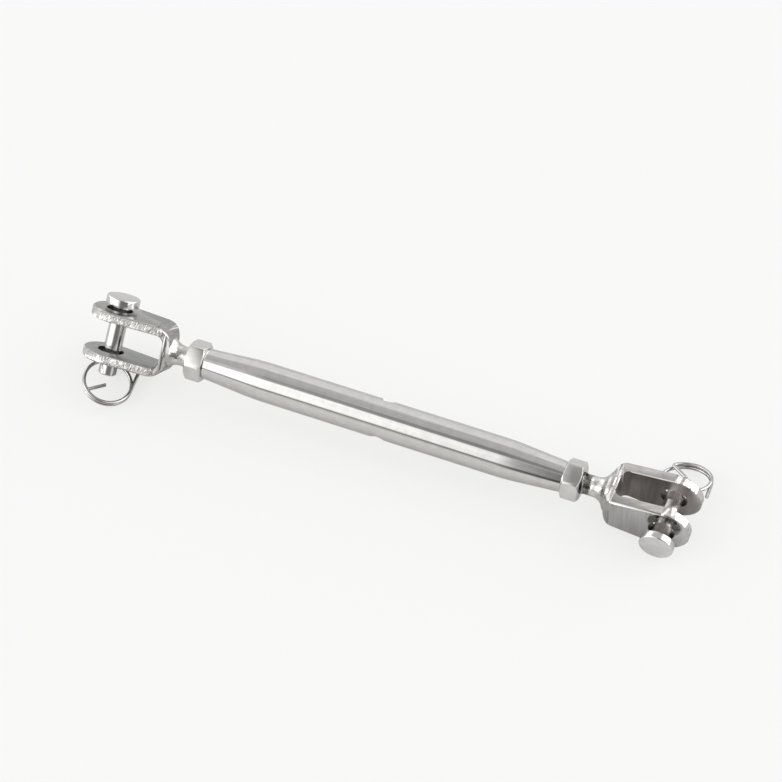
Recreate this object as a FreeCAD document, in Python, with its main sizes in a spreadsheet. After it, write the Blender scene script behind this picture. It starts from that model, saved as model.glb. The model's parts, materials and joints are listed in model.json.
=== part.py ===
"""A closed-body shroud adjuster for standing rigging, jaw and jaw, in polished stainless steel.

Lengths are in millimetres and angles in degrees. The barrel's axis is X, +Z is up, and the origin is the middle of
the barrel, where its cross hole meets the axis. The adjuster lies as it comes to rest: the right jaw stands on the
edges of its ears with its pin level, and the left jaw leans back with the tail of its pin turned down.
"""

import FreeCAD
import Part
import Sketcher

import math
import os

V = FreeCAD.Vector
X_AXIS = V(1, 0, 0)
Y_AXIS = V(0, 1, 0)
Z_AXIS = V(0, 0, 1)

# how far a face's normal may lean and still count as square to an axis
LEVEL = 1e-4
# the split rings' round wire is drawn with this many flats, to keep its facets few
WIRE_FLATS = 8

SIZES = [
    # the barrel: a tube with a long taper at each end
    ("barrel_length", 104.2),
    ("barrel_diameter", 10.9),
    ("barrel_end_diameter", 8.5),
    ("taper_length", 15.6),
    ("taper_blend_radius", 80.0),
    ("barrel_lip_chamfer", 0.3),
    ("cross_hole_diameter", 4.5),
    ("cross_hole_roll", -57.0),
    # the thread, drawn as plain cylinders: right-hand in the right end, left-hand in the left end
    ("thread_diameter", 5.95),
    ("thread_clearance", 0.05),
    ("thread_runout", 0.5),
    ("stud_end_from_middle", 4.0),
    ("stud_chamfer", 0.6),
    # the lock nuts
    ("nut_width", 10.0),
    ("nut_thickness", 5.0),
    ("nut_face_diameter", 9.7),
    ("nut_corner_chamfer", 0.55),
    ("left_nut_roll", -11.0),
    ("right_nut_roll", -13.0),
    # what both jaws share
    ("neck_diameter", 5.6),
    ("shoulder_round", 1.7),
    ("ear_radius", 7.54),
    ("arm_width", 11.9),
    ("web_inner_radius", 2.2),
    ("pin_hole_diameter", 7.4),
    ("outer_edge_chamfer", 0.42),
    ("inner_edge_chamfer", 0.2),
    # the left jaw, the wider one
    ("left_neck_showing", 2.0),
    ("left_throat", 15.8),
    ("left_gap", 9.4),
    ("left_ear_thickness", 2.6),
    ("left_web_thickness", 2.0),
    ("left_bend_radius", 5.0),
    ("left_arm_corner_radius", 3.6),
    ("left_shoulder_radius", 5.0),
    ("left_neck_flare_radius", 4.5),
    ("left_neck_from_web", 3.0),
    ("left_jaw_roll", -42.4),
    # the right jaw
    ("right_neck_showing", 3.6),
    ("right_throat", 14.5),
    ("right_gap", 8.0),
    ("right_ear_thickness", 2.9),
    ("right_web_thickness", 2.6),
    ("right_bend_radius", 3.4),
    ("right_arm_corner_radius", 3.0),
    ("right_shoulder_radius", 5.75),
    ("right_neck_flare_radius", 3.4),
    ("right_neck_from_web", 3.5),
    ("right_jaw_roll", 90.0),
    # the clevis pins
    ("pin_diameter", 5.0),
    ("pin_length", 22.6),
    ("head_diameter", 9.4),
    ("head_thickness", 2.2),
    ("head_edge_chamfer", 0.3),
    ("tail_chamfer", 0.4),
    ("ring_hole_diameter", 1.8),
    ("ring_hole_from_tail", 3.4),
    ("pin_seat_clearance", 0.1),
    ("left_head_stand_off", 1.25),
    ("right_head_stand_off", 2.6),
    ("left_ring_hole_turn", 28.0),
    ("right_ring_hole_turn", 16.0),
    # the split rings
    ("ring_diameter", 13.8),
    ("wire_diameter", 1.0),
    ("ring_pitch", 1.04),
    ("ring_wound_angle", 525.0),
    ("ring_bend_radius", 0.8),
    ("ring_leg_length", 4.9),
    ("ring_free_end_length", 3.5),
    ("left_ring_swing", 44.0),
    ("left_ring_tilt", -7.0),
    ("left_ring_leg_angle", 243.0),
    ("left_ring_leg_turn", 2.0),
    ("left_ring_leg_tilt", -6.0),
    ("right_ring_swing", 23.8),
    ("right_ring_tilt", -7.0),
    ("right_ring_leg_angle", 249.0),
    ("right_ring_leg_turn", 28.0),
    ("right_ring_leg_tilt", -15.0),
]

doc = FreeCAD.newDocument("ShroudAdjuster")
sheet = doc.addObject("Spreadsheet::Sheet", "sizes")
for row, (alias, number) in enumerate(SIZES, start=1):
    sheet.set(f"A{row}", alias)
    sheet.set(f"B{row}", str(number))
    sheet.setAlias(f"B{row}", alias)
doc.recompute()


def size(alias):
    return float(getattr(sheet, alias))


def value(expression):
    return float(sheet.evalExpression(expression))


def origin_plane(body, role):
    return next(f for f in body.Origin.OriginFeatures if f.Role == role)


def new_sketch(body, name, role):
    """An empty sketch on one of the body's own origin planes."""
    sketch = body.newObject("Sketcher::SketchObject", name)
    sketch.AttachmentSupport = [(origin_plane(body, role), "")]
    sketch.MapMode = "FlatFace"
    return sketch


def arc_centre(start, end, radius, side):
    """The centre of the shorter arc between two points, to the left (1) or right (-1) of the way from start to end."""
    chord = end - start
    middle = (start + end) * 0.5
    rise = math.sqrt(max(radius**2 - (chord.Length / 2) ** 2, 0))
    left = V(-chord.y, chord.x, 0).normalize()
    return middle + left * (side * rise)


def draw_loop(sketch, corners, arcs=None):
    """A closed loop through corners given as expressions; arcs maps an edge's number to its radius and side."""
    arcs = arcs or {}
    points = [V(value(x), value(y), 0) for x, y in corners]
    count = len(points)
    edges = []
    for i, start in enumerate(points):
        end = points[(i + 1) % count]
        if i not in arcs:
            geo = sketch.addGeometry(Part.LineSegment(start, end), False)
            edges.append((geo, 1, 2))
            continue
        radius_expression, side = arcs[i]
        radius = value(radius_expression)
        centre = arc_centre(start, end, radius, side)
        first, last = (start, end) if side > 0 else (end, start)
        angles = [math.atan2(p.y - centre.y, p.x - centre.x) for p in (first, last)]
        if angles[1] < angles[0]:
            angles[1] += 2 * math.pi
        circle = Part.Circle(centre, Z_AXIS, radius)
        geo = sketch.addGeometry(Part.ArcOfCircle(circle, *angles), False)
        edges.append((geo, 1, 2) if side > 0 else (geo, 2, 1))
    for i, (geo, _, end_at) in enumerate(edges):
        following, start_at, _ = edges[(i + 1) % count]
        sketch.addConstraint(Sketcher.Constraint("Coincident", geo, end_at, following, start_at))
    for i, (geo, start_at, _) in enumerate(edges):
        for kind, expression in zip(("DistanceX", "DistanceY"), corners[i]):
            number = value(expression)
            at = sketch.addConstraint(Sketcher.Constraint(kind, -1, 1, geo, start_at, number))
            sketch.setExpression(f"Constraints[{at}]", expression)
        if i in arcs:
            at = sketch.addConstraint(Sketcher.Constraint("Radius", geo, value(arcs[i][0])))
            sketch.setExpression(f"Constraints[{at}]", arcs[i][0])


def draw_circle(sketch, x, y, diameter):
    """A circle with its centre and diameter given as expressions."""
    geo = sketch.addGeometry(Part.Circle(V(value(x), value(y), 0), Z_AXIS, value(diameter) / 2), False)
    for kind, expression in (("DistanceX", x), ("DistanceY", y)):
        at = sketch.addConstraint(Sketcher.Constraint(kind, -1, 1, geo, 3, value(expression)))
        sketch.setExpression(f"Constraints[{at}]", expression)
    at = sketch.addConstraint(Sketcher.Constraint("Diameter", geo, value(diameter)))
    sketch.setExpression(f"Constraints[{at}]", diameter)


def revolve_about_x(body, name, sketch):
    revolution = body.newObject("PartDesign::Revolution", name)
    revolution.Profile = sketch
    revolution.ReferenceAxis = (sketch, ["H_Axis"])
    revolution.Angle = 360
    doc.recompute()
    return revolution


def pad_both_ways(body, name, sketch, length):
    pad = body.newObject("PartDesign::Pad", name)
    pad.Profile = sketch
    pad.Midplane = True
    pad.setExpression("Length", length)
    doc.recompute()
    return pad


def cut_both_ways(body, name, sketch, length):
    """A cut as long as the expression says, half on each side of the sketch."""
    before = body.Shape.Volume
    pocket = body.newObject("PartDesign::Pocket", name)
    pocket.Profile = sketch
    pocket.Midplane = True
    pocket.setExpression("Length", length)
    doc.recompute()
    if body.Shape.Volume >= before:
        raise RuntimeError(f"{name} cuts nothing")
    return pocket


def chamfer_edges(body, name, chosen, width):
    """Breaks the edges of the body's tip that the test picks."""
    base = body.Tip
    edges = [f"Edge{i}" for i, edge in enumerate(base.Shape.Edges, start=1) if chosen(base.Shape, edge)]
    if not edges:
        raise RuntimeError(f"{name} finds no edge")
    chamfer = body.newObject("PartDesign::Chamfer", name)
    chamfer.Base = (base, edges)
    chamfer.setExpression("Size", width)
    doc.recompute()
    return chamfer


def new_body(label):
    body = doc.addObject("PartDesign::Body", label)
    body.Label = label
    return body


def roll(degrees):
    return FreeCAD.Rotation(X_AXIS, degrees)


# The barrel

def make_barrel():
    body = new_body("barrel")
    half = "sizes.barrel_length / 2"
    bore = "(sizes.thread_diameter / 2 + sizes.thread_clearance)"
    end = "sizes.barrel_end_diameter / 2"
    full = "sizes.barrel_diameter / 2"
    lip = "sizes.barrel_lip_chamfer"
    slope = f"atan(({full} - {end}) / (sizes.taper_length - {lip}))"
    tangent = f"sizes.taper_blend_radius * tan({slope} / 2)"
    corner = f"({half} - sizes.taper_length)"
    right = [
        (half, bore),
        (half, f"{end} - {lip}"),
        (f"{half} - {lip}", end),
        (f"{corner} + {tangent} * cos({slope})", f"{full} - {tangent} * sin({slope})"),
        (f"{corner} - {tangent}", full),
    ]
    left = [(f"-({x})", y) for x, y in reversed(right)]
    profile = new_sketch(body, "barrel_profile", "XZ_Plane")
    blend = ("sizes.taper_blend_radius", 1)
    draw_loop(profile, right + left, {3: blend, 5: blend})
    revolve_about_x(body, "barrel_tube", profile)
    hole = new_sketch(body, "cross_hole_circle", "XY_Plane")
    draw_circle(hole, "0", "0", "sizes.cross_hole_diameter")
    cut_both_ways(body, "cross_hole", hole, "sizes.barrel_diameter * 2")
    body.Placement = FreeCAD.Placement(V(0, 0, 0), roll(size("cross_hole_roll")))
    return body


# The lock nuts, made with one face against the YZ plane and the rest on its +X side

def make_nut(side, direction):
    label = f"{side}_lock_nut"
    body = new_body(label)
    across = "sizes.nut_width"
    corner = f"({across} / 2 / cos(30))"
    hexagon = new_sketch(body, f"{side}_nut_hexagon", "YZ_Plane")
    draw_loop(hexagon, [(f"{corner} * sin({a})", f"{corner} * cos({a})") for a in range(0, 360, 60)])
    pad = body.newObject("PartDesign::Pad", f"{side}_nut_blank")
    pad.Profile = hexagon
    pad.setExpression("Length", "sizes.nut_thickness")
    doc.recompute()
    face = "sizes.nut_thickness"
    drop = "sizes.nut_corner_chamfer"
    flat = "(sizes.nut_face_diameter / 2)"
    outside = f"({corner} + {drop})"
    reach = f"({drop} * ({outside} - {flat}) / ({corner} - {flat}))"
    turned = new_sketch(body, f"{side}_nut_chamfers", "XZ_Plane")
    draw_loop(turned, [("0", flat), (reach, outside), ("0", outside)])
    draw_loop(turned, [(face, flat), (face, outside), (f"{face} - {reach}", outside)])
    groove = body.newObject("PartDesign::Groove", f"{side}_nut_corners")
    groove.Profile = turned
    groove.ReferenceAxis = (turned, ["H_Axis"])
    groove.Angle = 360
    doc.recompute()
    drilled = new_sketch(body, f"{side}_nut_bore_circle", "YZ_Plane")
    draw_circle(drilled, "0", "0", "sizes.thread_diameter + 2 * sizes.thread_clearance")
    cut_both_ways(body, f"{side}_nut_bore", drilled, "sizes.nut_thickness * 3")
    seat = size("barrel_length") / 2 if direction > 0 else -size("barrel_length") / 2 - size("nut_thickness")
    body.Placement = FreeCAD.Placement(V(seat, 0, 0), roll(size(f"{side}_nut_roll")))
    return body


# The jaws, made with the pin's axis on Z, the ears' tips towards +X and the stud towards -X

def pin_from_middle(side):
    """The pin's place as an expression: the nut and the neck that shows stand between barrel and jaw."""
    return (
        f"(sizes.barrel_length / 2 + sizes.nut_thickness + sizes.{side}_neck_showing"
        f" + sizes.{side}_neck_from_web + sizes.{side}_web_thickness + sizes.{side}_throat)"
    )


def make_jaw(side, direction):
    body = new_body(f"{side}_jaw")
    gap = f"sizes.{side}_gap / 2"
    outer = f"(sizes.{side}_gap / 2 + sizes.{side}_ear_thickness)"
    throat = f"sizes.{side}_throat"
    back = f"({throat} + sizes.{side}_web_thickness)"
    tip = "sizes.ear_radius"
    bend = f"sizes.{side}_bend_radius"
    inner = "sizes.web_inner_radius"
    # the bent strap seen across the pin: a U with rounded corners
    strap = new_sketch(body, f"{side}_strap_section", "XZ_Plane")
    draw_loop(
        strap,
        [
            (f"-{back}", f"{outer} - {bend}"),
            (f"-{back}", f"-({outer} - {bend})"),
            (f"-({back} - {bend})", f"-{outer}"),
            (tip, f"-{outer}"),
            (tip, f"-{gap}"),
            (f"-({throat} - {inner})", f"-{gap}"),
            (f"-{throat}", f"-({gap} - {inner})"),
            (f"-{throat}", f"{gap} - {inner}"),
            (f"-({throat} - {inner})", gap),
            (tip, gap),
            (tip, outer),
            (f"-({back} - {bend})", outer),
        ],
        {1: (bend, 1), 5: (inner, -1), 7: (inner, -1), 11: (bend, 1)},
    )
    pad_both_ways(body, f"{side}_strap", strap, f"{tip} * 2")
    # the ears' outline seen along the pin: a round eye on an arm that narrows towards the web
    half = "(sizes.arm_width / 2)"
    corner = f"sizes.{side}_arm_corner_radius"
    reach = f"sqrt({back}^2 + {half}^2)"
    touch = f"(180 deg - atan({half} / {back}) - acos({tip} / {reach}))"
    lean = f"(90 deg - {touch})"
    trim = f"({corner} * tan((90 deg + {lean}) / 2))"
    beyond = f"({tip} * 2)"
    far = f"-({back} + {tip})"
    outline = new_sketch(body, f"{side}_ear_outline", "XY_Plane")
    upper = [
        (f"{tip} * cos({touch})", f"{tip} * sin({touch})"),
        (f"-{back} + {trim} * cos({lean})", f"{half} + {trim} * sin({lean})"),
        (f"-{back}", f"{half} - {trim}"),
    ]
    lower = [(x, f"-({y})") for x, y in reversed(upper)]
    front = [(tip, "0")]
    draw_loop(
        outline,
        front + upper + lower,
        {0: (tip, 1), 2: (corner, 1), 4: (corner, 1), 6: (tip, 1)},
    )
    draw_loop(outline, [(beyond, beyond), (far, beyond), (far, f"-{beyond}"), (beyond, f"-{beyond}")])
    cut_both_ways(body, f"{side}_outline_cut", outline, f"{outer} * 4")

    margin = size("inner_edge_chamfer") / 2

    def on_outline(shape, edge, outside):
        """Whether an edge lies between the strap's section and its outline, on the outside or in the gap."""
        faces = shape.ancestorsOfType(edge, Part.Face)
        if len(faces) != 2:
            return False
        middle = edge.valueAt((edge.FirstParameter + edge.LastParameter) / 2)
        normals = [f.normalAt(*f.Surface.parameter(middle)) for f in faces]
        upright = [abs(n.z) < LEVEL for n in normals]
        across = [abs(n.y) < LEVEL for n in normals]
        if not ((upright[0] and across[1] and not across[0]) or (upright[1] and across[0] and not across[1])):
            return False
        is_outer = abs(middle.z) > value(gap) + margin or middle.x < -value(throat) - margin
        return is_outer == outside

    chamfer_edges(body, f"{side}_outer_edges", lambda s, e: on_outline(s, e, True), "sizes.outer_edge_chamfer")
    chamfer_edges(body, f"{side}_inner_edges", lambda s, e: on_outline(s, e, False), "sizes.inner_edge_chamfer")
    # a rounded shoulder in the web hollows down to the neck, then comes the threaded stud
    neck = "sizes.neck_diameter / 2"
    flare = f"sizes.{side}_neck_flare_radius"
    rounding = "sizes.shoulder_round"
    shoulder = f"sizes.{side}_shoulder_radius"
    neck_from = f"({back} + sizes.{side}_neck_from_web)"
    drop = f"({neck} + {flare} - {shoulder} + {rounding})"
    run = f"sqrt(({rounding} + {flare})^2 - {drop}^2)"
    share = f"({rounding} / ({rounding} + {flare}))"
    shoulder_at = f"({neck_from} - {run})"
    stud = "sizes.thread_diameter / 2"
    pin_at = pin_from_middle(side)
    thread_end = f"({pin_at} - sizes.barrel_length / 2 - sizes.nut_thickness - sizes.thread_runout)"
    stud_tip = f"({pin_at} - sizes.stud_end_from_middle)"
    chamfer = "sizes.stud_chamfer"
    inside_web = f"(({throat} + {shoulder_at}) / 2)"
    shank = new_sketch(body, f"{side}_shank_profile", "XZ_Plane")
    draw_loop(
        shank,
        [
            (f"-{inside_web}", "0"),
            (f"-{inside_web}", shoulder),
            (f"-{shoulder_at}", shoulder),
            (f"-({shoulder_at} + {run} * {share})", f"{shoulder} - {rounding} + {drop} * {share}"),
            (f"-{neck_from}", neck),
            (f"-{thread_end}", neck),
            (f"-{thread_end}", stud),
            (f"-({stud_tip} - {chamfer})", stud),
            (f"-{stud_tip}", f"{stud} - {chamfer}"),
            (f"-{stud_tip}", "0"),
        ],
        {2: (rounding, 1), 3: (flare, -1)},
    )
    revolve_about_x(body, f"{side}_shank", shank)
    hole = new_sketch(body, f"{side}_pin_hole_circle", "XY_Plane")
    draw_circle(hole, "0", "0", "sizes.pin_hole_diameter")
    cut_both_ways(body, f"{side}_pin_hole", hole, f"{outer} * 4")
    turn = FreeCAD.Rotation(Z_AXIS, 0 if direction > 0 else 180)
    place = V(direction * value(pin_from_middle(side)), 0, 0)
    body.Placement = FreeCAD.Placement(place, roll(size(f"{side}_jaw_roll")).multiply(turn))
    return body


# The clevis pins, made with their axis on Z, the head up and the ring's hole along X through the origin

def pin_frame(side, direction):
    """Where a pin's ring hole lies and how the pin is turned; the pin has sunk to the low side of its holes."""
    leaning = size(f"{side}_jaw_roll")
    outer = size(f"{side}_gap") / 2 + size(f"{side}_ear_thickness")
    head_top = outer + size(f"{side}_head_stand_off") + size("head_thickness")
    hole_at = head_top - size("pin_length") + size("ring_hole_from_tail")
    play = (size("pin_hole_diameter") - size("pin_diameter")) / 2 - size("pin_seat_clearance")
    sunk = -play if math.sin(math.radians(leaning)) > 0 else play
    jaw_turn = roll(leaning)
    place = V(direction * value(pin_from_middle(side)), 0, 0) + jaw_turn.multVec(V(0, sunk, hole_at))
    turn = jaw_turn.multiply(FreeCAD.Rotation(Z_AXIS, size(f"{side}_ring_hole_turn")))
    return FreeCAD.Placement(place, turn)


def make_pin(side, direction):
    body = new_body(f"{side}_clevis_pin")
    radius = "sizes.pin_diameter / 2"
    head = "sizes.head_diameter / 2"
    edge = "sizes.head_edge_chamfer"
    tail = "sizes.tail_chamfer"
    bottom = "-sizes.ring_hole_from_tail"
    top = "(sizes.pin_length - sizes.ring_hole_from_tail)"
    under = f"({top} - sizes.head_thickness)"
    profile = new_sketch(body, f"{side}_pin_profile", "XZ_Plane")
    draw_loop(
        profile,
        [
            ("0", bottom),
            (f"{radius} - {tail}", bottom),
            (radius, f"{bottom} + {tail}"),
            (radius, under),
            (head, under),
            (head, f"{top} - {edge}"),
            (f"{head} - {edge}", top),
            ("0", top),
        ],
    )
    turned = body.newObject("PartDesign::Revolution", f"{side}_pin_turned")
    turned.Profile = profile
    turned.ReferenceAxis = (profile, ["V_Axis"])
    turned.Angle = 360
    doc.recompute()
    hole = new_sketch(body, f"{side}_ring_hole_circle", "YZ_Plane")
    draw_circle(hole, "0", "0", "sizes.ring_hole_diameter")
    cut_both_ways(body, f"{side}_ring_hole", hole, "sizes.pin_diameter * 2")
    body.Placement = pin_frame(side, direction)
    return body


# The split rings, wound about Z, crossing their pin's hole at the angle 0 with the wire along Y

def ring_frame(side, direction):
    """The ring is swung away from the line of the pin's tail about its hole, and tilted by its play in the hole."""
    at_hole = pin_frame(side, direction)
    along = at_hole.Rotation.multVec(X_AXIS)
    tail = at_hole.Rotation.multVec(-Z_AXIS)
    sideways = along.cross(-tail)
    swing = math.radians(size(f"{side}_ring_swing"))
    outward = tail * math.cos(swing) + sideways * math.sin(swing)
    # the wire bows inside the hole, so its middle lies half the bow off the hole's axis
    bow = (size("pin_diameter") / 2) ** 2 / size("ring_diameter")
    centre = at_hole.Base + outward * (size("ring_diameter") / 2 - bow / 2)
    tilt = math.radians(size(f"{side}_ring_tilt"))
    wire = along * math.cos(tilt) + (-outward).cross(along) * math.sin(tilt)
    turn = FreeCAD.Rotation(-outward, wire, (-outward).cross(wire), "XYZ")
    return FreeCAD.Placement(centre, turn)


def wire_section(at, heading, radius):
    """The wire's section at a point of the coil, square to its heading."""
    across = V(at.x, at.y, 0).normalize()
    up = heading.cross(across).normalize()
    angles = [2 * math.pi * (i + 0.5) / WIRE_FLATS for i in range(WIRE_FLATS)]
    corners = [at + across * (radius * math.cos(a)) + up * (radius * math.sin(a)) for a in angles]
    return Part.makePolygon(corners + corners[:1])


def make_ring(side, direction):
    """One sweep of the wire along the coil, a tight bend and the straight leg."""
    radius = size("ring_diameter") / 2
    pitch = size("ring_pitch")
    wound = size("ring_wound_angle")
    leg_angle = size(f"{side}_ring_leg_angle")
    first_angle = leg_angle - wound
    helix = Part.makeHelix(pitch, pitch * wound / 360, radius)
    helix.Placement = FreeCAD.Placement(V(0, 0, pitch * first_angle / 360), FreeCAD.Rotation(Z_AXIS, first_angle))
    begin = helix.Edges[0]
    knee = helix.Edges[-1].valueAt(helix.Edges[-1].LastParameter)
    heading = helix.Edges[-1].tangentAt(helix.Edges[-1].LastParameter)
    inward = V(-knee.x, -knee.y, 0).normalize()
    turned = FreeCAD.Rotation(Z_AXIS, size(f"{side}_ring_leg_turn")).multVec(inward)
    tilt = math.radians(size(f"{side}_ring_leg_tilt"))
    leg_way = turned * math.cos(tilt) + Z_AXIS * math.sin(tilt)
    bend_radius = size("ring_bend_radius")
    bend_angle = heading.getAngle(leg_way)
    bend_side = (leg_way - heading * leg_way.dot(heading)).normalize()

    def on_bend(angle):
        return knee + heading * (bend_radius * math.sin(angle)) + bend_side * (bend_radius * (1 - math.cos(angle)))

    leg_start = on_bend(bend_angle)
    bend = Part.Arc(knee, on_bend(bend_angle / 2), leg_start).toShape()
    leg = Part.LineSegment(leg_start, leg_start + leg_way * size("ring_leg_length")).toShape()
    leaving = begin.valueAt(begin.FirstParameter)
    straight = begin.tangentAt(begin.FirstParameter)
    tip = leaving - straight * size("ring_free_end_length")
    free_end = Part.LineSegment(tip, leaving).toShape()
    section = wire_section(leaving, straight, size("wire_diameter") / 2)
    section.translate(tip - leaving)
    ring = doc.addObject("Part::Feature", f"{side}_split_ring")
    ring.Label = f"{side}_split_ring"
    ring.Shape = Part.Wire([free_end] + helix.Edges + [bend, leg]).makePipeShell([section], True, False)
    ring.Placement = ring_frame(side, direction)
    return ring


pieces = [make_barrel()]
for side_name, way in (("left", -1), ("right", 1)):
    pieces.append(make_nut(side_name, way))
    pieces.append(make_jaw(side_name, way))
    pieces.append(make_pin(side_name, way))
    pieces.append(make_ring(side_name, way))
doc.recompute()

for thing in doc.Objects:
    if "Invalid" in thing.State or "Error" in thing.State:
        raise RuntimeError(f"{thing.Label} failed: {thing.State}")
os.makedirs("parts", exist_ok=True)
for piece in pieces:
    shape = piece.Shape
    if shape.isNull() or not shape.isValid() or len(shape.Solids) != 1:
        raise RuntimeError(f"{piece.Label} is not one sound solid")
    shape.exportStep(f"parts/{piece.Label}.step")
    box = shape.BoundBox
    print(
        f"{piece.Label}: volume {shape.Volume:.1f}, x {box.XMin:.2f} to {box.XMax:.2f},"
        f" y {box.YMin:.2f} to {box.YMax:.2f}, z {box.ZMin:.2f} to {box.ZMax:.2f}"
    )
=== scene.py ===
"""A closed-body rigging screw in polished stainless steel, lying on a pale studio floor.

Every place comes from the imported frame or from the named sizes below, in metres. The barrel's axis is X, +Z is up.
"""

import json
import math

import bpy
from mathutils import Matrix, Vector


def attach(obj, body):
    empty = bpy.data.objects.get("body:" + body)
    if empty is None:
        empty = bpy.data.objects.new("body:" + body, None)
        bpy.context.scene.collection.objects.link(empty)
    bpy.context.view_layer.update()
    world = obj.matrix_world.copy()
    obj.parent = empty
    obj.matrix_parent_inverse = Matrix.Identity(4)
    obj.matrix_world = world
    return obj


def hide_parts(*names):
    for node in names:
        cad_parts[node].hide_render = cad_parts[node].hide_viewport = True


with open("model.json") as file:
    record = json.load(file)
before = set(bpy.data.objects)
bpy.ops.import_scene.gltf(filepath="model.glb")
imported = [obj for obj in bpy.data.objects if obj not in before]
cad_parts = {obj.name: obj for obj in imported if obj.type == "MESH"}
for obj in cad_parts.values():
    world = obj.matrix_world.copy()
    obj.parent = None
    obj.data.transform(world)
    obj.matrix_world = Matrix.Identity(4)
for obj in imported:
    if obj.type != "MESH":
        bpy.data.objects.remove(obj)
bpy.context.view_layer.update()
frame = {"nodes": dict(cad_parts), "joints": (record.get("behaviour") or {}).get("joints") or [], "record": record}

MM = 0.001
SAME_POINT = 1e-7
joints = {joint["name"]: joint for joint in frame["joints"]}

# the barrel
BARREL_RADIUS = 5.45 * MM
BARREL_END_RADIUS = 4.25 * MM
BARREL_HALF = 52.1 * MM
TAPER_LENGTH = 15.6 * MM
TAPER_BLEND = 3.1 * MM
TAPER_BLEND_STEPS = 8
BARREL_LIP = 0.28 * MM
BARREL_EDGE = 0.16 * MM
BORE_RADIUS = 3.025 * MM
CROSS_HOLE_RADIUS = 2.25 * MM
STATIONS_BY_HOLE = (1.2, 1.8, 4)

# the lock nuts
NUT_WIDTH = 10 * MM
NUT_THICKNESS = 5 * MM
NUT_FACE_RADIUS = 4.85 * MM
NUT_CHAMFER = 0.55 * MM
NUT_EDGE = 0.18 * MM
NUT_ROLL = {"left": -33, "right": -40}

# the studs' thread, with a tooth in shares of its pitch and depth, and spare turns at both ends that are cut off
THREAD_RADIUS = 2.975 * MM
THREAD_DEPTH = 0.55 * MM
THREAD_PITCH = 1.0 * MM
THREAD_TOOTH = ((0, 0), (0.42, 1), (0.55, 1), (0.9, 0), (1, 0))
THREAD_SEGMENTS = 32
THREAD_START = BARREL_HALF + NUT_THICKNESS + 0.5 * MM
THREAD_INTO_NECK = 0.3 * MM
THREAD_SPARE_TURNS = 2
THREAD_SAME_POINT = 1e-6
STUD_END = 4 * MM

# the clevis pins
PIN_RADIUS = 2.5 * MM
PIN_LENGTH = 22.6 * MM
PIN_EDGE = 0.08 * MM
HEAD_RADIUS = 4.7 * MM
HEAD_THICKNESS = 2.2 * MM
HEAD_ROUND = 0.35 * MM
HEAD_UNDER_ROUND = 0.21 * MM
HEAD_CORNER = 0.1 * MM
TAIL_CHAMFER = 0.4 * MM
RING_HOLE_RADIUS = 0.9 * MM
RING_HOLE_FROM_TAIL = 3.4 * MM

# the split rings, with their angles in degrees
RING_RADIUS = 6.7 * MM
WIRE_RADIUS = 0.5 * MM
WIRE_SEGMENTS = 20
WIRE_EDGE = 0.1 * MM
RING_PITCH = 1.01 * MM
RING_WOUND = 487
RING_STEPS = 120
KNEE_RADIUS = 0.8 * MM
KNEE_STEPS = 10
RING_LEG = 4.9 * MM
RING_FREE_END = 6.1 * MM
RING = {
    "left": {"swing": 46, "tilt": -1, "leg_angle": 234, "leg_turn": 19, "leg_tilt": -18},
    "right": {"swing": 24, "tilt": -7, "leg_angle": 226.7, "leg_turn": 15.9, "leg_tilt": -14},
}

# the jaws, seen from their pins: the web's back, the slot's bottom, where the smooth tip with its painted highlight
# starts, and the fork's roll
JAW = {
    "left": {"pin": -79.9 * MM, "back": 17.8 * MM, "throat": 15.8 * MM, "painted_highlight_tip_from": 1.2 * MM, "roll": -42.4},
    "right": {"pin": 81.3 * MM, "back": 17.1 * MM, "throat": 14.5 * MM, "painted_highlight_tip_from": 2.2 * MM, "roll": 90},
}
PIN_HOLE_RADIUS = 3.7 * MM
WEB_INNER_RADIUS = 2.2 * MM
# facets that lie fewer degrees apart than this are one flat face
FLAT_WITHIN = 0.8


# Ways of shaping a piece

def deselect():
    if bpy.context.object and bpy.context.object.mode != "OBJECT":
        bpy.ops.object.mode_set(mode="OBJECT")
    bpy.ops.object.select_all(action="DESELECT")


def pick(obj):
    deselect()
    obj.select_set(True)
    bpy.context.view_layer.objects.active = obj


def edit_all(obj):
    """Opens a piece in edit mode with all of it selected."""
    pick(obj)
    bpy.ops.object.mode_set(mode="EDIT")
    bpy.ops.mesh.select_all(action="SELECT")


def extrude(way):
    bpy.ops.mesh.extrude_region_move(TRANSFORM_OT_translate={"value": way})


def slice_off(place, way):
    """Cuts away what lies beyond a place along X, on the side that way gives, and closes the cut."""
    bpy.ops.mesh.select_all(action="SELECT")
    bpy.ops.mesh.bisect(
        plane_co=(place, 0, 0), plane_no=(way, 0, 0), clear_outer=True, use_fill=True, threshold=SAME_POINT
    )


def apply_modifiers(obj):
    pick(obj)
    for modifier in list(obj.modifiers):
        bpy.ops.object.modifier_apply(modifier=modifier.name)


def settle(obj, place):
    """Puts a piece made at the origin where it belongs, with its place in its mesh."""
    pick(obj)
    obj.matrix_world = place @ obj.matrix_world
    bpy.ops.object.transform_apply(location=True, rotation=True, scale=True)


def tidy_normals(obj, angle=35):
    edit_all(obj)
    bpy.ops.mesh.remove_doubles(threshold=SAME_POINT)
    bpy.ops.mesh.normals_make_consistent(inside=False)
    bpy.ops.object.mode_set(mode="OBJECT")
    bpy.ops.object.shade_smooth_by_angle(angle=math.radians(angle))


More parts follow.
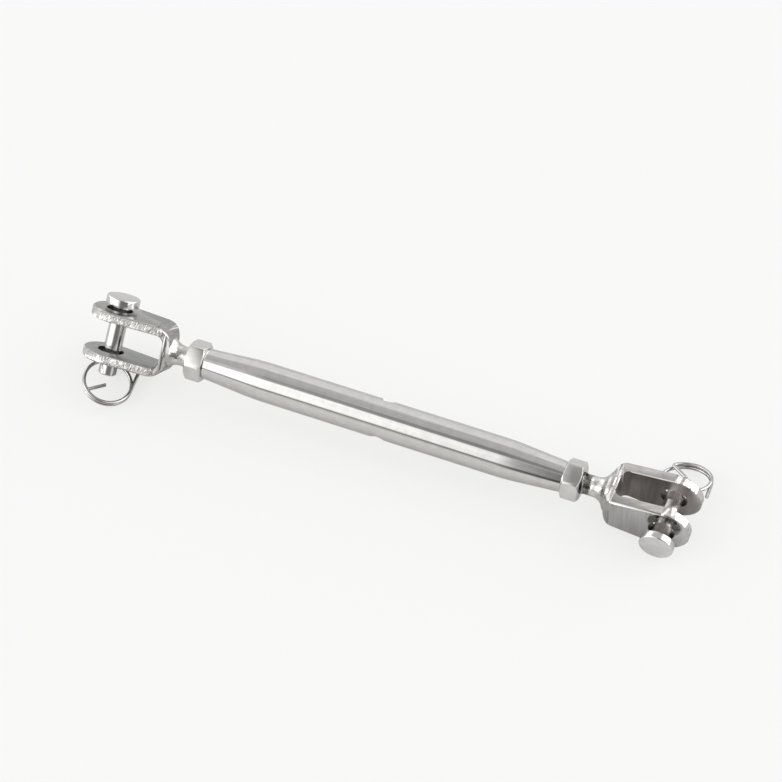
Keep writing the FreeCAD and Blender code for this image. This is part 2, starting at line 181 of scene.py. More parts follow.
def turned(name, stations, segments=96):
    """A solid turned about X, drawn out from one station to the next; a station is a place along X and a radius."""
    deselect()
    start, radius = stations[0]
    bpy.ops.mesh.primitive_circle_add(
        vertices=segments, radius=radius, fill_type="NGON", location=(start, 0, 0), rotation=(0, math.pi / 2, 0)
    )
    obj = bpy.context.object
    obj.name = name
    bpy.ops.object.transform_apply(location=True, rotation=True, scale=True)
    edit_all(obj)
    for (x_before, r_before), (x, r) in zip(stations, stations[1:]):
        extrude((x - x_before, 0, 0))
        grow = r / r_before
        bpy.ops.transform.resize(value=(1, grow, grow), center_override=(x, 0, 0))
    bpy.ops.object.mode_set(mode="OBJECT")
    tidy_normals(obj)
    return obj


def cut(obj, tool, operation="DIFFERENCE"):
    """Cuts a piece with a tool, which is then thrown away."""
    modifier = obj.modifiers.new("cut", "BOOLEAN")
    modifier.operation = operation
    modifier.object = tool
    modifier.solver = "EXACT"
    apply_modifiers(obj)
    bpy.data.objects.remove(tool)


def soften(obj, width, segments, angle):
    """Rounds every edge that is sharper than the angle."""
    modifier = obj.modifiers.new("soften", "BEVEL")
    modifier.width = width
    modifier.segments = segments
    modifier.limit_method = "ANGLE"
    modifier.angle_limit = math.radians(angle)
    modifier.use_clamp_overlap = True
    modifier.harden_normals = False
    apply_modifiers(obj)


def rod(name, radius, length, axis, vertices=64):
    """A plain round tool for cutting, along an axis through the origin."""
    deselect()
    bpy.ops.mesh.primitive_cylinder_add(vertices=vertices, radius=radius, depth=length)
    obj = bpy.context.object
    obj.name = name
    settle(obj, Vector((0, 0, 1)).rotation_difference(Vector(axis)).to_matrix().to_4x4())
    return obj


def round_corner(x, radius, size, way, steps=5):
    """Stations for a rounded outer corner whose sharp point would be at x; way is 1 where the piece ends there."""
    out = []
    for i in range(steps + 1):
        angle = math.radians(90 * i / steps)
        out.append((x - way * size * (1 - math.sin(angle)), radius - size * (1 - math.cos(angle))))
    return out if way > 0 else out[::-1]


# The pieces

def make_barrel():
    """A tube that is turned, bored and cross-drilled, with a smooth start to each end's taper."""
    corner = BARREL_HALF - TAPER_LENGTH
    slope = (BARREL_RADIUS - BARREL_END_RADIUS) / (TAPER_LENGTH - BARREL_LIP)
    # the stations beside the cross hole keep its cut from creasing the long faces
    half = [(share * CROSS_HOLE_RADIUS, BARREL_RADIUS) for share in STATIONS_BY_HOLE]
    for i in range(TAPER_BLEND_STEPS + 1):
        share = i / TAPER_BLEND_STEPS
        half.append((corner + TAPER_BLEND * (2 * share - 1), BARREL_RADIUS - slope * TAPER_BLEND * share**2))
    half.append((BARREL_HALF - BARREL_LIP, BARREL_END_RADIUS))
    half += round_corner(BARREL_HALF, BARREL_END_RADIUS, BARREL_LIP, 1)[1:]
    stations = [(-x, r) for x, r in reversed(half)] + half
    barrel = turned("barrel_tube", stations, segments=128)
    cut(barrel, rod("bore_tool", BORE_RADIUS, BARREL_HALF * 3, (1, 0, 0), vertices=96))
    axis = next(m for m in frame["record"]["mounts"] if m["name"] == "tommy_bar_hole")["axis"]
    cut(barrel, rod("cross_hole_tool", CROSS_HOLE_RADIUS, BARREL_RADIUS * 4, axis))
    soften(barrel, BARREL_EDGE, segments=3, angle=50)
    tidy_normals(barrel)
    return barrel


def make_nut(side, way):
    """A hexagon bar's slice, with both faces' corners turned off and a plain bore."""
    deselect()
    corner = NUT_WIDTH / 2 / math.cos(math.radians(30))
    bpy.ops.mesh.primitive_cylinder_add(vertices=6, radius=corner, depth=NUT_THICKNESS)
    nut = bpy.context.object
    nut.name = f"{side}_hexagon_nut"
    settle(nut, Matrix.Rotation(math.pi / 2, 4, "Y"))
    half = NUT_THICKNESS / 2
    # the tool's widest part lies a little beyond the corners
    beyond = corner * 1.1
    reach = NUT_CHAMFER * (beyond - NUT_FACE_RADIUS) / (corner - NUT_FACE_RADIUS)
    shape = [(-half, NUT_FACE_RADIUS), (-half + reach, beyond), (half - reach, beyond), (half, NUT_FACE_RADIUS)]
    cut(nut, turned("corner_tool", shape), "INTERSECT")
    cut(nut, rod("nut_bore_tool", BORE_RADIUS, NUT_THICKNESS * 2, (1, 0, 0)))
    soften(nut, NUT_EDGE, segments=3, angle=25)
    tidy_normals(nut, angle=40)
    turn = Matrix.Rotation(math.radians(NUT_ROLL[side]), 4, "X")
    settle(nut, Matrix.Translation((way * (BARREL_HALF + half), 0, 0)) @ turn)
    return nut


def pin_place(side):
    """The ring hole's middle, the way to the pin's head and the ring hole's way."""
    swing = joints[f"{side}_ring_swing"]
    head = Vector(joints[f"{side}_pin_slide"]["axis"]).normalized()
    return Vector(swing["pos_m"]), head, Vector(swing["axis"]).normalized()


def make_pin(side):
    """A turned pin with a flat head and a chamfered tail, drilled for its ring."""
    hole, head, along = pin_place(side)
    tail_x = -RING_HOLE_FROM_TAIL
    top_x = PIN_LENGTH - RING_HOLE_FROM_TAIL
    under_x = top_x - HEAD_THICKNESS
    stations = [(tail_x, PIN_RADIUS - TAIL_CHAMFER), (tail_x + TAIL_CHAMFER, PIN_RADIUS)]
    stations += [(x, PIN_RADIUS) for x in (tail_x + 2 * TAIL_CHAMFER, under_x - HEAD_CORNER, under_x)]
    stations += round_corner(under_x, HEAD_RADIUS, HEAD_UNDER_ROUND, -1)
    stations += round_corner(top_x, HEAD_RADIUS, HEAD_ROUND, 1)
    pin = turned(f"{side}_headed_pin", stations)
    cut(pin, rod("ring_hole_tool", RING_HOLE_RADIUS, PIN_RADIUS * 4, (0, 0, 1), vertices=48))
    soften(pin, PIN_EDGE, segments=2, angle=45)
    tidy_normals(pin)
    turn = Matrix((head, along.cross(head), along)).transposed().to_4x4()
    settle(pin, Matrix.Translation(hole) @ turn)
    return pin


def ring_place(side):
    """The coil's own place: X points at the ring hole, Y nearly along it, and Z along the coil's axis."""
    hole, head, along = pin_place(side)
    swing = math.radians(RING[side]["swing"])
    tilt = math.radians(RING[side]["tilt"])
    inward = head * math.cos(swing) - along.cross(head) * math.sin(swing)
    wire = along * math.cos(tilt) + inward.cross(along) * math.sin(tilt)
    # the wire curves inside the straight hole, so the coil sits nearer by half the height of that curve
    bow = PIN_RADIUS**2 / (2 * RING_RADIUS)
    centre = hole - inward * (RING_RADIUS - bow / 2)
    turn = Matrix((inward, wire, inward.cross(wire))).transposed().to_4x4()
    return Matrix.Translation(centre) @ turn


def draw_leg(shape, climb):
    """Bends the wire by a knee where the coil ends, and draws the straight leg that crosses the ring."""
    angle = math.radians(shape["leg_angle"])
    tilt = math.radians(shape["leg_tilt"])
    outward = Vector((math.cos(angle), math.sin(angle), 0))
    coil_end = outward * RING_RADIUS + Vector((0, 0, climb * shape["leg_angle"]))
    heading = Vector((-math.sin(angle) * RING_RADIUS, math.cos(angle) * RING_RADIUS, math.degrees(climb)))
    heading.normalize()
    level_way = Matrix.Rotation(math.radians(shape["leg_turn"]), 3, "Z") @ -outward
    leg_way = level_way * math.cos(tilt) + Vector((0, 0, math.sin(tilt)))
    bend_side = (leg_way - heading * leg_way.dot(heading)).normalized()
    bend_axis = heading.cross(leg_way).normalized()
    bend_turn = Vector((0, 0, 1)).rotation_difference(bend_axis).to_matrix()
    for _ in range(KNEE_STEPS):
        extrude((0, 0, 0))
        bpy.ops.transform.rotate(
            value=-heading.angle(leg_way) / KNEE_STEPS,
            orient_axis="Z",
            orient_type="GLOBAL",
            orient_matrix=bend_turn,
            orient_matrix_type="GLOBAL",
            center_override=coil_end + bend_side * KNEE_RADIUS,
        )
    extrude(leg_way * RING_LEG)


def make_ring(side):
    """A round wire drawn along its straight free end, the coil, the knee and the leg."""
    shape = RING[side]
    climb = RING_PITCH / 360
    rise = math.degrees(climb) / RING_RADIUS
    first = shape["leg_angle"] - RING_WOUND
    deselect()
    bpy.ops.mesh.primitive_circle_add(
        vertices=WIRE_SEGMENTS, radius=WIRE_RADIUS, fill_type="NGON", rotation=(math.pi / 2, 0, 0)
    )
    ring = bpy.context.object
    ring.name = f"{side}_wire_ring"
    tip = Matrix.Translation((RING_RADIUS, -RING_FREE_END, climb * first - RING_FREE_END * rise))
    start = Matrix.Rotation(math.radians(first), 4, "Z") @ tip
    settle(ring, start)
    edit_all(ring)
    extrude(start.to_3x3() @ Vector((0, RING_FREE_END, RING_FREE_END * rise)))
    turn_step = RING_WOUND / RING_STEPS
    for _ in range(RING_STEPS):
        extrude((0, 0, climb * turn_step))
        bpy.ops.transform.rotate(value=-math.radians(turn_step), orient_axis="Z", center_override=(0, 0, 0))
    draw_leg(shape, climb)
    bpy.ops.object.mode_set(mode="OBJECT")
    tidy_normals(ring)
    soften(ring, WIRE_EDGE, segments=2, angle=60)
    tidy_normals(ring, angle=50)
    settle(ring, ring_place(side))
    return ring


def make_thread(side, way):
    """A threaded rod from the jaw's neck to the stud's end, right-hand on the right and left-hand on the left."""
    deselect()
    bpy.ops.mesh.primitive_plane_add(size=THREAD_PITCH)
    thread = bpy.context.object
    thread.name = f"{side}_thread"
    # one tooth: flank up, narrow crest, flank down, narrow root
    edit_all(thread)
    bpy.ops.mesh.merge(type="CENTER")
    bpy.ops.transform.translate(value=(0, 0, THREAD_RADIUS - THREAD_DEPTH))
    for (along, height), (next_along, next_height) in zip(THREAD_TOOTH, THREAD_TOOTH[1:]):
        extrude(((next_along - along) * THREAD_PITCH, 0, (next_height - height) * THREAD_DEPTH))
    bpy.ops.object.mode_set(mode="OBJECT")
    length = THREAD_START - STUD_END
    screw = thread.modifiers.new("screw", "SCREW")
    screw.axis = "X"
    screw.angle = 2 * math.pi * way
    screw.screw_offset = THREAD_PITCH
    screw.iterations = math.ceil(length / THREAD_PITCH) + 2 * THREAD_SPARE_TURNS
    screw.steps = THREAD_SEGMENTS
    screw.render_steps = THREAD_SEGMENTS
    screw.use_merge_vertices = True
    screw.merge_threshold = THREAD_SAME_POINT
    apply_modifiers(thread)
    settle(thread, Matrix.Translation((STUD_END - THREAD_SPARE_TURNS * THREAD_PITCH, 0, 0)))
    edit_all(thread)
    for place, outward in ((STUD_END, -1), (THREAD_START + THREAD_INTO_NECK, 1)):
        bpy.ops.mesh.select_all(action="SELECT")
        bpy.ops.mesh.remove_doubles(threshold=THREAD_SAME_POINT)
        slice_off(place, outward)
    bpy.ops.object.mode_set(mode="OBJECT")
    tidy_normals(thread, angle=30)
    if way < 0:
        settle(thread, Matrix.Rotation(math.pi, 4, "Z"))
    return thread


def jaw_frame(side):
    """Turns a place in the scene into the jaw's own: X from the pin away from the stud, Z along the pin."""
    way = 1 if JAW[side]["pin"] > 0 else -1
    out = Vector((way, 0, 0))
    up = Vector(joints[f"{side}_pin_slide"]["axis"]).normalized()
    turn = Matrix((out, up.cross(out), up))
    return lambda point: turn @ (point - Vector((JAW[side]["pin"], 0, 0))), lambda normal: turn @ normal


# the order of each jaw's finishes
OUTSIDE, CUT_RIM, NECK, BROKEN_EDGE, IN_SLOT, TIP = range(6)


def finish_of_face(side, centre, normal):
    """Which finish a face of a jaw has, from its place and its normal in the jaw's own directions."""
    jaw = JAW[side]
    on_neck = centre.x < -(jaw["back"] + 0.02 * MM)
    in_pin_hole = math.hypot(centre.x, centre.y) < PIN_HOLE_RADIUS * 1.05 and abs(normal.z) < 0.2
    on_bend = centre.x < -(jaw["throat"] - WEB_INNER_RADIUS)
    on_strip = abs(normal.z) > 0.95 or (on_bend and abs(normal.y) < 0.05)
    faces_slot = normal.z * centre.z < 0 or (on_bend and normal.x > 0.1)
    on_cut_side = abs(normal.y) > 0.9
    on_edge = on_bend or abs(normal.z) > 0.3
    if on_neck:
        return NECK
    if in_pin_hole or (on_strip and faces_slot):
        return IN_SLOT
    if on_strip:
        return OUTSIDE
    if on_cut_side:
        return CUT_RIM
    if on_edge:
        return BROKEN_EDGE
    # past this place the rim is the smooth tip, painted paler as a highlight
    return TIP if centre.x > jaw["painted_highlight_tip_from"] else CUT_RIM


def make_jaw(side, way):
    """The CAD's fork with a finish on each face, and a cut thread in place of its plain stud."""
    node = frame["nodes"][f"{side}_jaw"]
    deselect()
    jaw = node.copy()
    jaw.data = node.data.copy()
    jaw.name = f"{side}_fork"
    bpy.context.collection.objects.link(jaw)
    edit_all(jaw)
    bpy.ops.mesh.remove_doubles(threshold=SAME_POINT)
    # flat faces are made whole, because triangles across them bend the light
    bpy.ops.mesh.select_all(action="SELECT")
    bpy.ops.mesh.dissolve_limited(angle_limit=math.radians(FLAT_WITHIN))
    slice_off(way * THREAD_START, -way)
    bpy.ops.object.mode_set(mode="OBJECT")
    tidy_normals(jaw, angle=30)
    local, local_normal = jaw_frame(side)
    jaw.data.materials.clear()
    for material in jaw_finishes[side]:
        jaw.data.materials.append(material)
    for face in jaw.data.polygons:
        face.material_index = finish_of_face(side, local(face.center), local_normal(face.normal))
    thread = make_thread(side, way)
    thread.data.materials.append(thread_steel)
    pick(jaw)
    thread.select_set(True)
    bpy.ops.object.join()
    return jaw


# Finishes

def shader(material):
    return next(n for n in material.node_tree.nodes if n.type == "BSDF_PRINCIPLED")


def add(tree, kind, **values):
    node = tree.nodes.new(kind)
    for key, value in values.items():
        setattr(node, key, value)
    return node


def spread(tree, value, begin, end, low=0, high=1):
    """Stretches the values from begin to end over low to high, and holds them beyond."""
    node = add(tree, "ShaderNodeMapRange")
    node.inputs["From Min"].default_value = begin
    node.inputs["From Max"].default_value = end
    node.inputs["To Min"].default_value = low
    node.inputs["To Max"].default_value = high
    tree.links.new(value, node.inputs["Value"])
    return node.outputs["Result"]


def new_group(name, values, mask):
    """A node group that takes a vector and named values, and puts out a mask and the surface's normal."""
    group = bpy.data.node_groups.new(name, "ShaderNodeTree")
    face = group.interface
    face.new_socket("Vector", in_out="INPUT", socket_type="NodeSocketVector").hide_value = True
    for key, value in values.items():
        face.new_socket(key, in_out="INPUT", socket_type="NodeSocketFloat").default_value = value
    face.new_socket(mask, in_out="OUTPUT", socket_type="NodeSocketFloat")
    face.new_socket("Normal", in_out="OUTPUT", socket_type="NodeSocketVector")
    return group, add(group, "NodeGroupInput"), add(group, "NodeGroupOutput")


def put_out(group, inputs, outputs, mask, height):
    """Sends a mask out of a group, and the normal of a surface that is as high as height says."""
    bump = add(group, "ShaderNodeBump")
    group.links.new(inputs.outputs["Depth"], bump.inputs["Strength"])
    group.links.new(inputs.outputs["Distance"], bump.inputs["Distance"])
    group.links.new(height, bump.inputs["Height"])
    group.links.new(mask, outputs.inputs[0])
    group.links.new(bump.outputs["Normal"], outputs.inputs["Normal"])


def grain_group():
    """Fine marks drawn along one way: a mask of their light and dark, and the surface's normal."""
    values = {"Along": 60, "Across": 4000, "Depth": 0.1, "Distance": 0.00002}
    group, inputs, outputs = new_group("drawn_marks", values, "Marks")
    stretch = add(group, "ShaderNodeCombineXYZ")
    for axis, name in (("X", "Along"), ("Y", "Across"), ("Z", "Across")):
        group.links.new(inputs.outputs[name], stretch.inputs[axis])
    scaled = add(group, "ShaderNodeVectorMath", operation="MULTIPLY")
    group.links.new(inputs.outputs["Vector"], scaled.inputs[0])
    group.links.new(stretch.outputs["Vector"], scaled.inputs[1])
    noise = add(group, "ShaderNodeTexNoise")
    noise.inputs["Scale"].default_value = 1
    noise.inputs["Detail"].default_value = 4
    noise.inputs["Roughness"].default_value = 0.6
    group.links.new(scaled.outputs["Vector"], noise.inputs["Vector"])
    put_out(group, inputs, outputs, noise.outputs["Fac"], noise.outputs["Fac"])
    return group


def mottle_group():
    """Uneven dull and bright patches with a rough surface, as on a tumbled or forged skin."""
    values = {"Patch Scale": 400, "Pit Scale": 2500, "Depth": 0.4, "Distance": 0.0001}
    group, inputs, outputs = new_group("tumbled_skin", values, "Patches")
    patches = add(group, "ShaderNodeTexNoise")
    patches.inputs["Detail"].default_value = 3
    pits = add(group, "ShaderNodeTexNoise")
    pits.inputs["Detail"].default_value = 2
    for noise, scale in ((patches, "Patch Scale"), (pits, "Pit Scale")):
        group.links.new(inputs.outputs["Vector"], noise.inputs["Vector"])
        group.links.new(inputs.outputs[scale], noise.inputs["Scale"])
    # the pits are half as deep as the patches
    height = add(group, "ShaderNodeMath", operation="MULTIPLY_ADD")
    height.inputs[1].default_value = 0.5
    group.links.new(pits.outputs["Fac"], height.inputs[0])
    group.links.new(patches.outputs["Fac"], height.inputs[2])
    put_out(group, inputs, outputs, patches.outputs["Fac"], height.outputs["Value"])
    return group


drawn_marks = grain_group()
tumbled_skin = mottle_group()

# nearly all of a noise lies between these values
NOISE_LOW = 0.35
NOISE_HIGH = 0.65


def steel(name, group, dark, light, roughness, values, turn=(0, 0, 0), drift=(400, 400, 0.05)):
    """A bare steel finish: the group's mask blends the two colours and the two roughnesses.

    The drift is a slow change of tone: how often it comes along and across the turned pattern, and how deep it is.
    """
    material = bpy.data.materials.new(name)
    material.use_nodes = True
    tree = material.node_tree
    principled = shader(material)
    principled.inputs["Metallic"].default_value = 1
    where = add(tree, "ShaderNodeTexCoord")
    turn_node = add(tree, "ShaderNodeMapping")
    turn_node.inputs["Rotation"].default_value = [math.radians(a) for a in turn]
    tree.links.new(where.outputs["Object"], turn_node.inputs["Vector"])
    marks = add(tree, "ShaderNodeGroup", node_tree=group)
    for key, value in values.items():
        marks.inputs[key].default_value = value
    tree.links.new(turn_node.outputs["Vector"], marks.inputs["Vector"])
    ramp = add(tree, "ShaderNodeValToRGB")
    for stop, place, colour in zip(ramp.color_ramp.elements, (NOISE_LOW, NOISE_HIGH), (dark, light)):
        stop.position = place
        stop.color = (*colour, 1)
    tree.links.new(marks.outputs[0], ramp.inputs["Fac"])
    slow = add(tree, "ShaderNodeGroup", node_tree=drawn_marks)
    along, across, depth = drift
    slow.inputs["Along"].default_value = along
    slow.inputs["Across"].default_value = across
    tree.links.new(turn_node.outputs["Vector"], slow.inputs["Vector"])
    tone = spread(tree, slow.outputs["Marks"], NOISE_LOW, NOISE_HIGH, 1 - depth, 1 + depth)
    toned = add(tree, "ShaderNodeVectorMath", operation="SCALE")
    tree.links.new(ramp.outputs["Color"], toned.inputs[0])
    tree.links.new(tone, toned.inputs["Scale"])
    tree.links.new(toned.outputs["Vector"], principled.inputs["Base Color"])
    gloss = spread(tree, marks.outputs[0], NOISE_LOW, NOISE_HIGH, *roughness)
    tree.links.new(gloss, principled.inputs["Roughness"])
    tree.links.new(marks.outputs["Normal"], principled.inputs["Normal"])
    return material


barrel_steel = steel(
    "drawn_tube_steel", drawn_marks, (0.60, 0.59, 0.575), (0.66, 0.65, 0.635), (0.10, 0.06),
    {"Along": 25, "Across": 2500, "Depth": 0.08, "Distance": 0.00002},
)
satin_steel = steel(
    "satin_left_fork_steel", drawn_marks, (0.33, 0.33, 0.325), (0.39, 0.39, 0.385), (0.24, 0.18),
    {"Along": 120, "Across": 1600, "Depth": 0.08, "Distance": 0.00003},
    turn=(-JAW["left"]["roll"], 0, 0),
)
left_slot_steel = steel(
    "satin_left_slot_steel", drawn_marks, (0.36, 0.36, 0.36), (0.42, 0.42, 0.42), (0.42, 0.34),
    {"Along": 120, "Across": 1600, "Depth": 0.08, "Distance": 0.00003},
    turn=(-JAW["left"]["roll"], 0, 0),
)
mirror_steel = steel(
    "polished_right_fork_steel", drawn_marks, (0.48, 0.47, 0.46), (0.54, 0.53, 0.52), (0.14, 0.09),
    {"Along": 120, "Across": 1600, "Depth": 0.06, "Distance": 0.00003},
    turn=(-JAW["right"]["roll"], 0, 90), drift=(30, 220, 0.14),
)
# the slot's inside is a rougher satin finish, and its darker tone is painted shade between the ears and in the pin
# hole
right_slot_steel_painted_shade = steel(
    "satin_right_slot_painted_shade_steel", drawn_marks, (0.40, 0.375, 0.36), (0.47, 0.445, 0.43), (0.42, 0.32),
    {"Along": 120, "Across": 1200, "Depth": 0.1, "Distance": 0.00003},
    turn=(-JAW["right"]["roll"], 0, 90), drift=(40, 260, 0.2),
)
chattered_steel = steel(
    "chattered_left_rim_steel", drawn_marks, (0.36, 0.34, 0.33), (0.90, 0.88, 0.86), (0.28, 0.12),
    {"Along": 800, "Across": 2900, "Depth": 0.9, "Distance": 0.0002},
    turn=(-JAW["left"]["roll"], 68, 0), drift=(500, 500, 0.2),
)
milled_steel = steel(
    "milled_right_rim_steel", drawn_marks, (0.44, 0.42, 0.405), (0.62, 0.60, 0.585), (0.34, 0.22),
    {"Along": 140, "Across": 2600, "Depth": 0.25, "Distance": 0.00008},
    turn=(-JAW["right"]["roll"], 0, 0), drift=(200, 400, 0.1),
)
edge_steel = steel(
    "broken_edge_steel", drawn_marks, (0.46, 0.45, 0.44), (0.54, 0.53, 0.52), (0.30, 0.22),
    {"Along": 200, "Across": 400, "Depth": 0, "Distance": 0.00003},
)
# the rims round the ears' tips are a smoother finish, and their paler colour is a painted highlight
smooth_tip_steel_painted_highlight = steel(
    "smooth_tip_painted_highlight_steel", drawn_marks, (0.70, 0.69, 0.68), (0.76, 0.75, 0.74), (0.16, 0.12),
    {"Along": 200, "Across": 400, "Depth": 0, "Distance": 0.00003},
)
neck_steel = steel(
    "forged_neck_steel", tumbled_skin, (0.50, 0.48, 0.46), (0.78, 0.76, 0.74), (0.3, 0.14),
    {"Patch Scale": 420, "Pit Scale": 1500, "Depth": 0.6, "Distance": 0.0003},
)
nut_steel = steel(
    "milled_nut_steel", tumbled_skin, (0.68, 0.665, 0.645), (0.74, 0.725, 0.705), (0.22, 0.16),
    {"Patch Scale": 300, "Pit Scale": 2500, "Depth": 0.15, "Distance": 0.00005},
)
pin_steel = steel(
    "turned_pin_steel", drawn_marks, (0.63, 0.62, 0.61), (0.70, 0.69, 0.68), (0.12, 0.07),
    {"Along": 300, "Across": 900, "Depth": 0.06, "Distance": 0.00003},
)
wire_steel = steel(
    "bright_wire_steel", drawn_marks, (0.44, 0.43, 0.42), (0.54, 0.53, 0.52), (0.12, 0.06),
    {"Along": 500, "Across": 900, "Depth": 0.08, "Distance": 0.00003},
)
thread_steel = steel(
    "rolled_thread_steel", drawn_marks, (0.48, 0.47, 0.46), (0.58, 0.57, 0.56), (0.25, 0.18),
    {"Along": 300, "Across": 900, "Depth": 0.06, "Distance": 0.00003},
)
jaw_finishes = {
    "left": (satin_steel, chattered_steel, neck_steel, edge_steel, left_slot_steel, smooth_tip_steel_painted_highlight),
    "right": (mirror_steel, milled_steel, neck_steel, edge_steel, right_slot_steel_painted_shade, smooth_tip_steel_painted_highlight),
}


# The whole adjuster

def dress(piece, node, material):
    """Gives a piece its finish, unless it has its own already, and puts it in the place of its CAD node."""
    if material:
        piece.data.materials.clear()
        piece.data.materials.append(material)
    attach(piece, node)
    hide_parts(node)


dress(make_barrel(), "barrel", barrel_steel)
for side, way in (("left", -1), ("right", 1)):
    dress(make_nut(side, way), f"{side}_lock_nut", nut_steel)
    dress(make_jaw(side, way), f"{side}_jaw", None)
    dress(make_pin(side), f"{side}_clevis_pin", pin_steel)
    dress(make_ring(side), f"{side}_split_ring", wire_steel)


# The studio

FLOOR_SIZE = 3.0
LEFT_REST = Vector((-79.83, 0, -10.93)) * MM
RIGHT_REST = Vector((81.3, 0, -7.56)) * MM
PAPER_TO_EYE = (0.18, 0.18, 0.18, 1)
PAPER_TO_STEEL = (0.58, 0.575, 0.57, 1)
PAPER_ROUGHNESS = 0.9
GLOW = (1, 1, 0.995, 1)
GLOW_TO_EYE = 0.72
# painted light: the paper glows more in front of the adjuster than under and behind it, and only the steel sees this
GLOW_IN_FRONT = 0.16
GLOW_BELOW = 0.03
GLOW_FADES = (-16 * MM, -2 * MM)
CAMERA_PLACE = Vector((161.57, -390.9, 619.8)) * MM
CAMERA_RIGHT = Vector((0.9314, 0.3638, -0.0099))
CAMERA_UP = Vector((-0.2932, 0.7661, 0.5720))
CAMERA_LENS = 127.6
CAMERA_SENSOR = 36


def make_floor():
    """The sheet of paper that the adjuster rests on, with the slope of its two lowest points."""
    deselect()
    bpy.ops.mesh.primitive_plane_add(size=FLOOR_SIZE)
    floor = bpy.context.object
    floor.name = "studio_floor"
    along = RIGHT_REST - LEFT_REST
    tilt = Matrix.Rotation(-math.atan2(along.z, along.x), 4, "Y")
    settle(floor, Matrix.Translation(LEFT_REST) @ tilt)
    # the paper glows: to the eye an even glow over a dark base colour makes it white with faint shadows, while the
    # steel mirrors a paler paper with a painted pool of light in front of the adjuster that fades towards it
    material = bpy.data.materials.new("paper_with_painted_glow")
    material.use_nodes = True
    tree = material.node_tree
    surface = shader(material)
    surface.inputs["Roughness"].default_value = PAPER_ROUGHNESS
    surface.inputs["Specular IOR Level"].default_value = 0
    surface.inputs["Emission Color"].default_value = GLOW
    rays = add(tree, "ShaderNodeLightPath")
    paper = add(tree, "ShaderNodeMix", data_type="RGBA")
    paper.inputs["A"].default_value = PAPER_TO_STEEL
    paper.inputs["B"].default_value = PAPER_TO_EYE
    tree.links.new(rays.outputs["Is Camera Ray"], paper.inputs["Factor"])
    tree.links.new(paper.outputs["Result"], surface.inputs["Base Color"])
    where = add(tree, "ShaderNodeTexCoord")
    split = add(tree, "ShaderNodeSeparateXYZ")
    tree.links.new(where.outputs["Object"], split.inputs["Vector"])
    # painted pool of light: the glow that the steel mirrors is stronger in front of the adjuster
    glow = add(tree, "ShaderNodeMix", data_type="FLOAT")
    glow.inputs["B"].default_value = GLOW_TO_EYE
    tree.links.new(spread(tree, split.outputs["Y"], *GLOW_FADES, GLOW_IN_FRONT, GLOW_BELOW), glow.inputs["A"])
    tree.links.new(rays.outputs["Is Camera Ray"], glow.inputs["Factor"])
    tree.links.new(glow.outputs["Result"], surface.inputs["Emission Strength"])
    floor.data.materials.append(material)


# what the studio shows round the object, by the angle from the front horizon up over the top to the back
SURROUNDINGS = (
    (-180, 0.95),
    (-10, 0.85),
    (4, 0.85),
    (8, 0.38),
    (15, 0.42),
    (19, 1.55),
    (65, 1.55),
    (70, 0.50),
    (84, 0.42),
    (90, 0.60),
    (128, 0.66),
    (134, 1.0),
    (180, 0.95),
)
# how much of it is seen to the left and right, each as a place along X from -1 to 1 and a share
FRONT_ACROSS = (
    (-0.75, 2.6),
    (-0.5, 1.3),
    (-0.24, 1.0),
    (-0.14, 0.78),
    (-0.02, 0.37),
    (0.1, 0.15),
    (0.76, 0.15),
    (0.88, 1.2),
)
ABOVE_ACROSS = (
    (-0.6, 2.2),
    (-0.4, 1.6),
    (-0.25, 1.0),
    (-0.15, 0.62),
    (0.0, 0.75),
    (0.3, 0.6),
    (0.45, 3.5),
)
BEHIND_ACROSS = (
    (-0.7, 1.9),
    (-0.5, 1.0),
    (0.26, 1.0),
    (0.42, 3.5),
)
# the angles over which one of these gives way to the next
FRONT_TO_ABOVE = (62, 72)
ABOVE_TO_BEHIND = (84, 92)
# a ramp holds colours up to 1, so its lights are kept as shares of this limit
LIGHT_LIMIT = 4


def light_ramp(tree, along, places):
    """A ramp of plain light by places from 0 to 1."""
    ramp = add(tree, "ShaderNodeValToRGB")
    stops = ramp.color_ramp.elements
    for i, (place, light) in enumerate(places):
        stop = stops[i] if i < 2 else stops.new(place)
        stop.position = place
        shade = light / LIGHT_LIMIT
        stop.color = (shade, shade, shade, 1)
    tree.links.new(along, ramp.inputs["Fac"])
    return ramp.outputs["Color"]


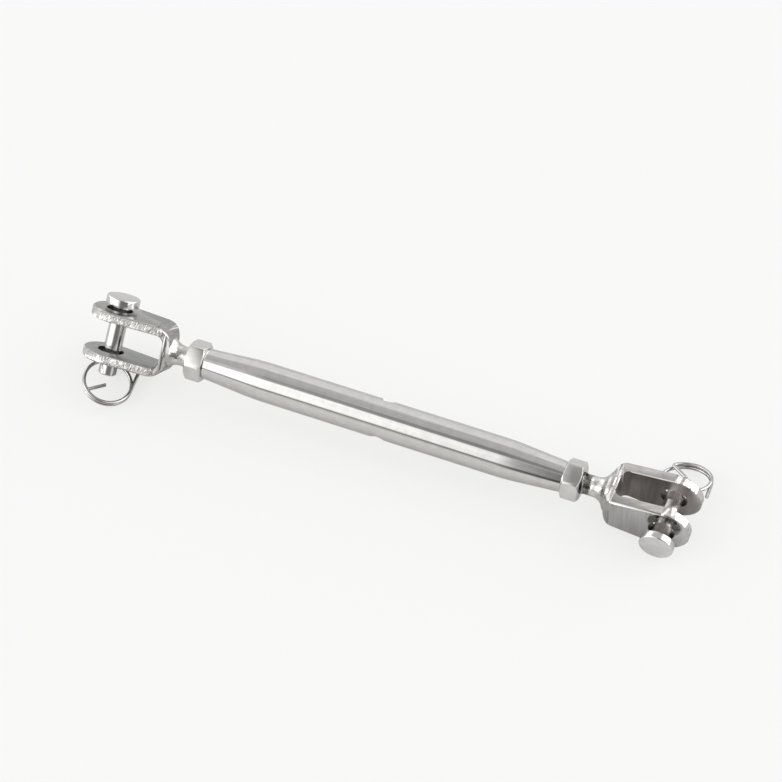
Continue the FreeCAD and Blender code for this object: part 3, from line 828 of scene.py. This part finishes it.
def make_surroundings():
    world = bpy.data.worlds.new("studio")
    bpy.context.scene.world = world
    world.use_nodes = True
    tree = world.node_tree
    background = next(n for n in tree.nodes if n.type == "BACKGROUND")
    where = add(tree, "ShaderNodeTexCoord")
    split = add(tree, "ShaderNodeSeparateXYZ")
    tree.links.new(where.outputs["Generated"], split.inputs["Vector"])
    front = add(tree, "ShaderNodeMath", operation="MULTIPLY")
    front.inputs[1].default_value = -1
    tree.links.new(split.outputs["Y"], front.inputs[0])
    arc = add(tree, "ShaderNodeMath", operation="ARCTAN2")
    tree.links.new(split.outputs["Z"], arc.inputs[0])
    tree.links.new(front.outputs["Value"], arc.inputs[1])
    angle = arc.outputs["Value"]
    round_share = spread(tree, angle, -math.pi, math.pi)
    across = spread(tree, split.outputs["X"], -1, 1)
    lengthwise = light_ramp(tree, round_share, [((degrees + 180) / 360, light) for degrees, light in SURROUNDINGS])
    sideways = light_ramp(tree, across, [((x + 1) / 2, light) for x, light in FRONT_ACROSS])
    for places, change in ((ABOVE_ACROSS, FRONT_TO_ABOVE), (BEHIND_ACROSS, ABOVE_TO_BEHIND)):
        blend = add(tree, "ShaderNodeMix", data_type="RGBA")
        tree.links.new(spread(tree, angle, *(math.radians(a) for a in change)), blend.inputs["Factor"])
        tree.links.new(sideways, blend.inputs["A"])
        tree.links.new(light_ramp(tree, across, [((x + 1) / 2, light) for x, light in places]), blend.inputs["B"])
        sideways = blend.outputs["Result"]
    seen = add(tree, "ShaderNodeVectorMath", operation="MULTIPLY")
    tree.links.new(lengthwise, seen.inputs[0])
    tree.links.new(sideways, seen.inputs[1])
    tree.links.new(seen.outputs["Vector"], background.inputs["Color"])
    # both factors are shares of the limit
    background.inputs["Strength"].default_value = LIGHT_LIMIT**2


def make_camera():
    data = bpy.data.cameras.new("camera")
    data.lens = CAMERA_LENS
    data.sensor_width = CAMERA_SENSOR
    camera = bpy.data.objects.new("camera", data)
    bpy.context.collection.objects.link(camera)
    toward = CAMERA_RIGHT.cross(CAMERA_UP)
    turn = Matrix((CAMERA_RIGHT, CAMERA_UP, toward)).transposed().to_4x4()
    camera.matrix_world = Matrix.Translation(CAMERA_PLACE) @ turn
    bpy.context.scene.camera = camera


make_floor()
make_surroundings()
make_camera()
bpy.context.scene.view_settings.view_transform = "Standard"
